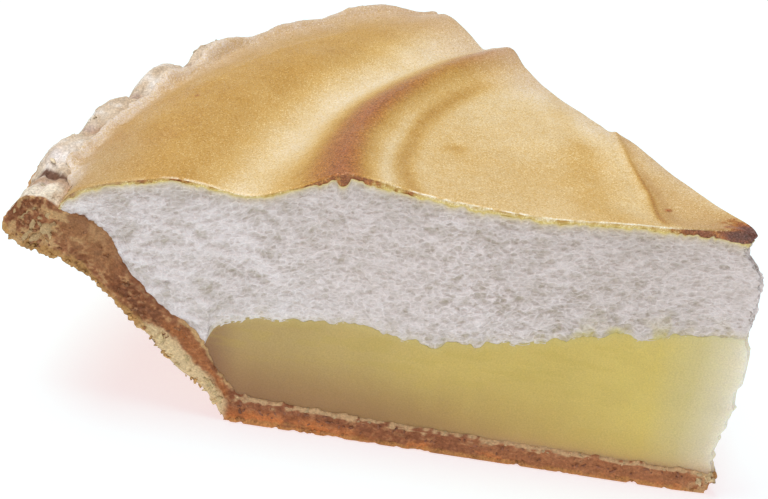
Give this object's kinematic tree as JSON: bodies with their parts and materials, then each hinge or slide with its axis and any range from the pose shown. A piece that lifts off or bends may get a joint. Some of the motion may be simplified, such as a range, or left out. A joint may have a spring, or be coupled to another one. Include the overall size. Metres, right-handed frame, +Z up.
{
  "type": "icebox pie slice",
  "caption": "One slice of a lemon icebox pie: fluted pastry crust, lemon filling and a tall browned meringue with spiral folds.",
  "frame": {"origin": "bottom centre of the slice's bounding box, on the surface it stands on", "axes": "+X from the fluted rim towards the slice's tip, +Y from the near cut face towards the far one, +Z up"},
  "size_m": [0.1214, 0.1018, 0.0504],
  "materials": {
    "crust": "dry baked pastry, brown with paler flakes",
    "lemon_filling": "smooth moist lemon cream, slightly see-through",
    "meringue": "satin golden skin toasted darker on the folds, white foam where cut"
  },
  "bodies": {
    "root": {"crust": "crust", "lemon_filling": "lemon_filling", "meringue": "meringue"}
  },
  "joints": []
}
